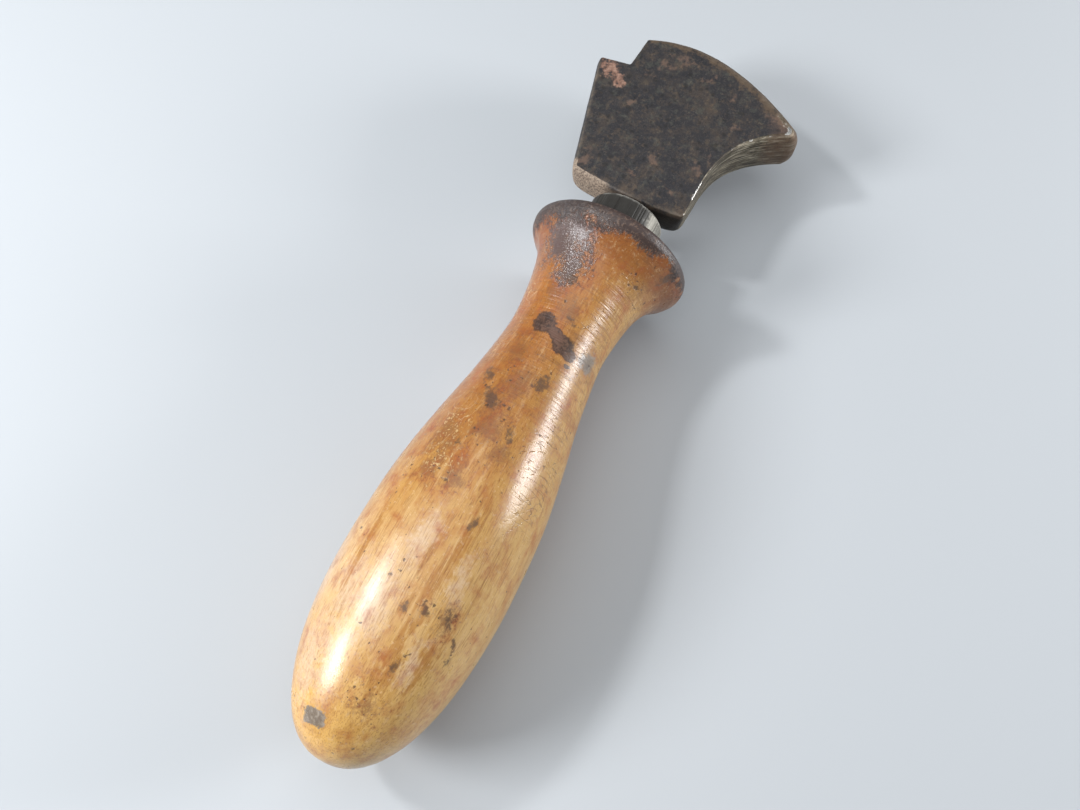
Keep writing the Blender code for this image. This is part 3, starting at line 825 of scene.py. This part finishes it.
def varnished_wood():
    """Beech under old varnish: golden at the butt, orange-brown at the waist, charred at the lip."""
    material, tree, shader = new_finish("varnished_beech")
    place = node(tree, "ShaderNodeTexCoord").outputs["Object"]
    # noises stretched along the grain, even ones for dirt, and one stretched round for turning marks
    broad = clouds(tree, (17, 200, 200), 5.0, 0.6)
    streaks = clouds(tree, (40, 900, 900), 5.0, 0.62, 3.1)
    grain = clouds(tree, (240, 3600, 3600), 3.0, 0.65, 7.7)
    mottle = clouds(tree, (230, 280, 280), 6.0, 0.66, 1.3)
    crumbs = clouds(tree, (1300, 1300, 1300), 4.0, 0.7, 5.1)
    turning = clouds(tree, (1700, 70, 70), 3.0, 0.6, 2.9)
    rag = sums(tree, "ADD", sums(tree, "MULTIPLY", mottle, 0.5), sums(tree, "MULTIPLY", crumbs, 0.5))
    along = node(tree, "ShaderNodeSeparateXYZ", {"Vector": place}).outputs["X"]
    from_butt = node(tree, "ShaderNodeMapRange", {
        "Value": along, "From Min": handle_low[0], "From Max": handle_low[0] + LIP[0] * MM,
    }).outputs["Result"]
    near_butt = step(tree, from_butt, 0.62, 0.36, 0.2, 1.0)
    slender = step(tree, from_butt, 0.48, 0.72)
    # the wood's own tone from the butt to the lip, then paler and darker streaks and the open grain
    wander = sums(tree, "MULTIPLY", sums(tree, "SUBTRACT", mottle, 0.5), 0.24)
    colour = colours(tree, sums(tree, "ADD", from_butt, wander), WOOD_TONES)
    # painted light on the nose side of the handle
    colour = lay(tree, colour, field(tree, "pale"), 0.8, NOSE_SIDE_LIGHT)
    honey = sums(tree, "MULTIPLY", near_butt, 0.55)
    colour = lay(tree, colour, step(tree, broad, 0.50, 0.62), honey, HONEY)
    # faded wood, partly a painted sheen round the bulb's highlight
    colour = lay(tree, colour, ragged(tree, "bleached_and_sheen", rag, 3.6, -0.1, 1.0), 0.58, BLEACHED_AND_SHEEN)
    colour = lay(tree, colour, ragged(tree, "amber", streaks, 3.0, -0.1, 0.6), 0.75, AMBER)
    colour = lay(tree, colour, step(tree, streaks, 0.54, 0.70), 0.50, DARK_STREAK)
    colour = lay(tree, colour, step(tree, streaks, 0.45, 0.32), 0.30, LIGHT_STREAK)
    colour = lay(tree, colour, step(tree, grain, 0.50, 0.68), 0.52, OPEN_GRAIN, "MULTIPLY")
    colour = lay(tree, colour, step(tree, crumbs, 0.57, 0.68), 0.34, DRY_CRUMB)
    # grime, and the marks of turning where the handle is slender
    grime = ragged(tree, "grime", rag, 5.0, -0.1, 0.9)
    colour = lay(tree, colour, grime, 0.66, GRIME)
    bands = step(tree, clouds(tree, (330, 50, 50), 4.0, 0.6, 8.8), 0.50, 0.64)
    bands = sums(tree, "MULTIPLY", bands, slender)
    colour = lay(tree, colour, bands, 0.35, DARK_BAND)
    in_grime = step(tree, field(tree, "grime"), -1.0, 0.2, 0.35, 1.0)
    blots = sums(tree, "MULTIPLY", step(tree, rag, 0.54, 0.62), in_grime)
    fibres = step(tree, clouds(tree, (800, 420, 420), 5.0, 0.75, 12.3), 0.53, 0.62)
    colour = lay(tree, colour, sums(tree, "MULTIPLY", fibres, slender), 0.40, FIBRE)
    colour = lay(tree, colour, blots, 0.72, BLOT)
    scored = sums(tree, "MULTIPLY", step(tree, turning, 0.56, 0.68), slender)
    colour = lay(tree, colour, scored, 0.36, TURNING_SCORE)
    # reddened by heat, sooted, and rubbed back to pale wood with light strokes
    colour = lay(tree, colour, ragged(tree, "heat", mottle, 1.8, -0.15, 0.7), 0.90, REDDENED)
    soot = ragged(tree, "soot", rag, 4.2, -0.1, 0.6)
    colour = lay(tree, colour, soot, 0.86, SOOT)
    worn = sums(tree, "MULTIPLY", ragged(tree, "worn", mottle, 0.8, 0.0, 0.6),
                step(tree, crumbs, 0.55, 0.62))
    colour = lay(tree, colour, worn, 0.8, RUBBED_WOOD)
    strokes = sums(tree, "MULTIPLY", hairlines(tree, (110, 190, 190), 0.0045, 4.2),
                   step(tree, field(tree, "worn"), -0.4, 0.5, 0.15, 1.0))
    colour = lay(tree, colour, strokes, 0.38, LIGHT_STROKE)
    # grey patches, a painted reflection drawn as a grey square, and stains
    grey_tone = blend(tree, step(tree, rag, 0.44, 0.58), (0.13, 0.125, 0.120), (0.25, 0.225, 0.195))
    colour = lay(tree, colour, ragged(tree, "grey", rag, 3.2, -0.15, 0.55), 0.80, grey_tone)
    # painted reflection of a dark window pane
    reflection_tone = blend(tree, step(tree, rag, 0.44, 0.60), (0.11, 0.105, 0.100), (0.29, 0.265, 0.235))
    colour = lay(tree, colour, ragged(tree, "square", rag, 1.5, -0.02, 0.14), 0.85, reflection_tone)
    colour = lay(tree, colour, ragged(tree, "stain", rag, 4.5, -0.05, 0.75), 0.80, STAIN)
    # the charred lip with its paler crumbs, and burns with a mottled middle and a black rim
    char = ragged(tree, "char", rag, 7.0, -0.4, 0.7)
    colour = lay(tree, colour, char, 0.94, CHAR)
    sparks = sums(tree, "MULTIPLY", char, step(tree, crumbs, 0.54, 0.61, 0.0, 0.42))
    colour = lay(tree, colour, sparks, 1.0, CHAR_CRUMB)
    burnt = ragged(tree, "burnt", rag, 1.3, -0.06, 0.22)
    ember = blend(tree, step(tree, rag, 0.43, 0.57), (0.020, 0.013, 0.013), (0.115, 0.062, 0.044))
    colour = lay(tree, colour, burnt, 0.92, ember)
    rim = sums(tree, "MULTIPLY", burnt, step(tree, field(tree, "burnt"), 0.24, 0.06))
    colour = lay(tree, colour, rim, 0.75, BURN_RIM)
    # pits, dark specks in clusters, cracks and crazing in the varnish
    pit = ragged(tree, "pit", crumbs, 2.4, 0.0, 0.6)
    chance = step(tree, field(tree, "specked"), -0.2, 0.7, 0.05, 0.48)
    jitter = node(tree, "ShaderNodeTexNoise", {"Vector": place, "Scale": 1500.0, "Detail": 2.0})
    jitter = node(tree, "ShaderNodeVectorMath", {0: jitter.outputs["Color"], "Scale": 0.0011},
                  operation="SCALE").outputs[0]
    wavy = node(tree, "ShaderNodeVectorMath", {0: place, 1: jitter}, operation="ADD").outputs[0]
    pit = sums(tree, "MAXIMUM", pit, specks(tree, wavy, 1250.0, chance))
    pit = sums(tree, "MAXIMUM", pit, specks(tree, wavy, 640.0, sums(tree, "MULTIPLY", chance, 0.6)))
    colour = lay(tree, colour, pit, 0.74, PIT_DIRT)
    broken = step(tree, clouds(tree, (420, 420, 420), 2.0, 0.5, 9.3), 0.36, 0.50)
    crack = sums(tree, "MULTIPLY", step(tree, field(tree, "crack"), 0.84, 0.96), broken)
    colour = lay(tree, colour, crack, 0.5, CRACK_DIRT)
    crazing = sums(tree, "MULTIPLY", hairlines(tree, (620, 120, 120), 0.020, 6.6),
                   sums(tree, "MULTIPLY", step(tree, field(tree, "crazed"), 0.05, 0.45), broken))
    colour = lay(tree, colour, crazing, 0.58, CRAZING_DIRT)
    tree.links.new(colour, shader.inputs["Base Color"])

    # uneven gloss: duller on burns and char, shinier on soot, under a thin coat of varnish
    rough = sums(tree, "ADD", 0.32, sums(tree, "MULTIPLY", sums(tree, "SUBTRACT", mottle, 0.5), 0.35))
    rough = sums(tree, "ADD", rough, sums(tree, "MULTIPLY", burnt, 0.08))
    rough = sums(tree, "ADD", rough, sums(tree, "MULTIPLY", char, 0.15))
    rough = sums(tree, "SUBTRACT", rough, sums(tree, "MULTIPLY", soot, 0.17))
    tree.links.new(rough, shader.inputs["Roughness"])
    shader.inputs["Coat Weight"].default_value = 0.30
    shader.inputs["Coat Roughness"].default_value = 0.21
    crackled = sums(tree, "MULTIPLY", sums(tree, "ADD", sums(tree, "ADD", soot, char), 0.12), crumbs)
    relief(tree, shader, [
        (sums(tree, "MULTIPLY", turning, sums(tree, "ADD", slender, 0.08)), 0.00011), (grain, 0.000022),
        (crackled, 0.00013), (sums(tree, "SUBTRACT", 1.0, pit), 0.00004),
        (sums(tree, "SUBTRACT", 1.0, sums(tree, "MAXIMUM", crack, crazing)), 0.00004),
    ])
    return material


# ---------------------------------------------------------------- steel
def patinated_steel():
    """Old forged steel: blue-black oxide, brown mottling, bare rusty patches, rubbed bright rims, and a
    sole edge rubbed bright with a painted highlight and a painted glint at the nose.
    """
    material, tree, shader = new_finish("patinated_steel")
    clouded = clouds(tree, (150, 150, 150), 6.0, 0.7, 2.2)
    mottle = clouds(tree, (620, 620, 620), 6.0, 0.72, 4.4)
    crumbs = clouds(tree, (2200, 2200, 2200), 4.0, 0.75, 6.6)
    rag = sums(tree, "ADD", sums(tree, "MULTIPLY", clouded, 0.4), sums(tree, "MULTIPLY", mottle, 0.6))
    # blue-black oxide with a dull bloom, brown mottling, and light and dark crumbs
    colour = colours(tree, clouded, [
        (0.32, (0.020, 0.019, 0.023)), (0.50, (0.031, 0.028, 0.030)), (0.62, (0.058, 0.044, 0.036)),
        (0.76, (0.100, 0.070, 0.048)),
    ])
    bloom = step(tree, clouds(tree, (330, 330, 330), 6.0, 0.75, 8.1), 0.52, 0.64, 0.0, 0.42)
    colour = blend(tree, bloom, colour, (0.092, 0.092, 0.072))
    brown = step(tree, mottle, 0.50, 0.66, 0.0, 0.55)
    colour = blend(tree, brown, colour, (0.110, 0.078, 0.052))
    light = step(tree, crumbs, 0.57, 0.70, 0.0, 0.42)
    colour = blend(tree, light, colour, (0.21, 0.175, 0.135))
    dark = step(tree, crumbs, 0.45, 0.32, 0.0, 0.75)
    colour = blend(tree, dark, colour, (0.010, 0.009, 0.010))
    # browner beside the handle, along the crown, at the nose and in rust blotches
    base = ragged(tree, "base", rag, 5.0, 0.45, 1.15)
    colour = lay(tree, colour, base, 0.28, (0.16, 0.108, 0.070))
    crown = ragged(tree, "crown", rag, 4.0, 0.30, 1.0)
    colour = lay(tree, colour, crown, 0.65, (0.150, 0.098, 0.058))
    tip = ragged(tree, "tip", rag, 1.6, 0.45, 1.2)
    colour = lay(tree, colour, tip, 0.55, (0.20, 0.120, 0.082))
    rust = ragged(tree, "rust", rag, 6.0, 0.0, 1.0)
    colour = lay(tree, colour, rust, 0.60, (0.165, 0.100, 0.070))
    # the sole, rubbed in streaks that follow its hollow
    run = node(tree, "ShaderNodeAttribute", attribute_name="run").outputs["Vector"]
    rubbed = clouds(tree, (0.20, 2.6, 1.0), 5.0, 0.68, 0.7, run)
    sole_colour = colours(tree, rubbed, [
        (0.38, (0.030, 0.024, 0.017)), (0.46, (0.090, 0.074, 0.050)), (0.54, (0.190, 0.160, 0.110)),
        (0.64, (0.46, 0.41, 0.31)),
    ])
    sole_colour = lay(tree, sole_colour, tip, 0.6, (0.155, 0.085, 0.050))
    sole_colour = blend(tree, dark, sole_colour, (0.014, 0.011, 0.009))
    sole = step(tree, field(tree, "sole"), 0.3, 0.9)
    colour = lay(tree, colour, sole, 0.9, sole_colour)
    # the heel corner's grainy rust, painted lighter where the light falls on it; a painted shadow on
    # the end face's corner by the sole; worn rims and the bare patch by the notch
    heel = ragged(tree, "heel", rag, 0.9, 0.1, 0.7)
    sandy_and_lit = blend(tree, step(tree, crumbs, 0.36, 0.62), (0.13, 0.09, 0.065), (0.47, 0.36, 0.27))
    colour = lay(tree, colour, heel, 0.9, sandy_and_lit)
    # painted shadow on the end face's corner by the sole
    toe = step(tree, field(tree, "toe"), 0.2, 0.8, 0.0, 0.85)
    colour = blend(tree, toe, colour, (0.022, 0.018, 0.013))
    rim = ragged(tree, "rim", rag, 2.4, 0.55, 1.4)
    colour = lay(tree, colour, rim, 0.5, (0.23, 0.185, 0.14))
    bare = ragged(tree, "bare", rag, 4.5, -0.1, 0.45)
    bare_colour = colours(tree, mottle, [
        (0.38, (0.075, 0.040, 0.030)), (0.50, (0.240, 0.125, 0.086)), (0.64, (0.36, 0.22, 0.16)),
    ])
    colour = lay(tree, colour, bare, 0.92, bare_colour)
    pit = ragged(tree, "pit", crumbs, 1.2, 0.0, 0.5)
    colour = lay(tree, colour, pit, 0.55, (0.014, 0.012, 0.011))
    # the sole's front edge: rubbed bright wear, a painted highlight and a painted glint at the nose tip
    polish_and_glint = ragged(tree, "polish_and_glint", mottle, 2.4, 0.50, 0.80)
    colour = blend(tree, polish_and_glint, colour, (0.72, 0.70, 0.66))
    tree.links.new(colour, shader.inputs["Base Color"])
    # oxide hides most of the metal, rust hides all of it
    metal = sums(tree, "ADD", sums(tree, "MULTIPLY", sole, 0.30), 0.20)
    metal = sums(tree, "MAXIMUM", metal, polish_and_glint)
    rusty = sums(tree, "MAXIMUM", bare, sums(tree, "MAXIMUM", heel, sums(tree, "MULTIPLY", rust, 0.6)))
    metal = sums(tree, "MULTIPLY", metal, sums(tree, "SUBTRACT", 1.0, rusty))
    tree.links.new(metal, shader.inputs["Metallic"])
    rough = sums(tree, "ADD", sums(tree, "MULTIPLY", mottle, 0.36), 0.36)
    rough = sums(tree, "ADD", rough, sums(tree, "MULTIPLY", rusty, 0.2))
    rough = sums(tree, "SUBTRACT", rough, sums(tree, "MULTIPLY", polish_and_glint, 0.24), clamp=True)
    tree.links.new(rough, shader.inputs["Roughness"])
    relief(tree, shader, [
        (mottle, 0.00016), (crumbs, 0.00010), (sums(tree, "MULTIPLY", rubbed, sole), 0.00012),
        (sums(tree, "SUBTRACT", 1.0, bare), 0.00004),
    ])
    return material


def ferrule_steel():
    """Dull grey steel with dirt in the crimps, a painted highlight along the mouth, and a painted
    shadow of the head over one side.
    """
    material, tree, shader = new_finish("ferrule_steel")
    mottle = clouds(tree, (600, 600, 600), 5.0, 0.65, 1.1)
    scrape = clouds(tree, (300, 2600, 2600), 3.0, 0.6, 3.3)
    colour = colours(tree, mottle, [
        (0.30, (0.13, 0.122, 0.105)), (0.50, (0.23, 0.220, 0.190)), (0.75, (0.36, 0.345, 0.300)),
    ])
    colour = blend(tree, step(tree, scrape, 0.5, 0.7, 0.0, 0.5), colour, (0.16, 0.14, 0.115))
    dirt = step(tree, field(tree, "crimp"), 0.15, 0.9, 0.0, 0.6)
    colour = blend(tree, dirt, colour, (0.045, 0.038, 0.030))
    # painted shadow of the head, darkening the side that the head shades
    painted_shade = ragged(tree, "shaded_side", mottle, 1.6, 0.2, 0.8)
    colour = lay(tree, colour, painted_shade, 0.94, (0.018, 0.015, 0.012))
    # painted highlight: a paler, patchy band along the mouth's rounded edge
    mouth = sums(tree, "MULTIPLY", step(tree, field(tree, "mouth"), 0.90, 0.99),
                 step(tree, mottle, 0.35, 0.6))
    colour = lay(tree, colour, mouth, 0.6, (0.60, 0.57, 0.51))
    tree.links.new(colour, shader.inputs["Base Color"])
    tree.links.new(step(tree, painted_shade, 0.0, 1.0, 0.6, 0.2), shader.inputs["Metallic"])
    tree.links.new(step(tree, mottle, 0.2, 0.8, 0.42, 0.66), shader.inputs["Roughness"])
    relief(tree, shader, [(mottle, 0.00005), (scrape, 0.00004)])
    return material


def forge_scale():
    """Black scale left by the forge on the tang and its shank."""
    material, tree, shader = new_finish("forge_scale")
    mottle = clouds(tree, (700, 700, 700), 5.0, 0.65, 2.7)
    colour = colours(tree, mottle, [
        (0.32, (0.010, 0.009, 0.009)), (0.55, (0.028, 0.022, 0.018)), (0.78, (0.085, 0.052, 0.032)),
    ])
    tree.links.new(colour, shader.inputs["Base Color"])
    shader.inputs["Metallic"].default_value = 0.4
    tree.links.new(step(tree, mottle, 0.3, 0.8, 0.45, 0.75), shader.inputs["Roughness"])
    relief(tree, shader, [(mottle, 0.00010)])
    return material


# ---------------------------------------------------------------- tang and floor
def finish_tang():
    """The tang keeps the CAD node's own mesh and gets the forge's scale."""
    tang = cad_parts["tang"]
    tang.data.materials.clear()
    tang.data.materials.append(forge_scale())


def lay_floor():
    """A plain pale floor, a hair below the tool."""
    bpy.ops.mesh.primitive_plane_add(size=16.0, location=(0, 0, -0.0002))
    floor = bpy.context.object
    floor.name = "floor"
    material, _, shader = new_finish("pale_floor")
    shader.inputs["Base Color"].default_value = (0.50, 0.52, 0.54, 1.0)
    shader.inputs["Roughness"].default_value = 0.9
    shader.inputs["Specular IOR Level"].default_value = 0.1
    floor.data.materials.append(material)


bpy.context.scene.view_settings.view_transform = "Standard"
place_camera()
lay_floor()
light_the_studio()
make_handle()
make_ferrule()
make_head()
finish_tang()
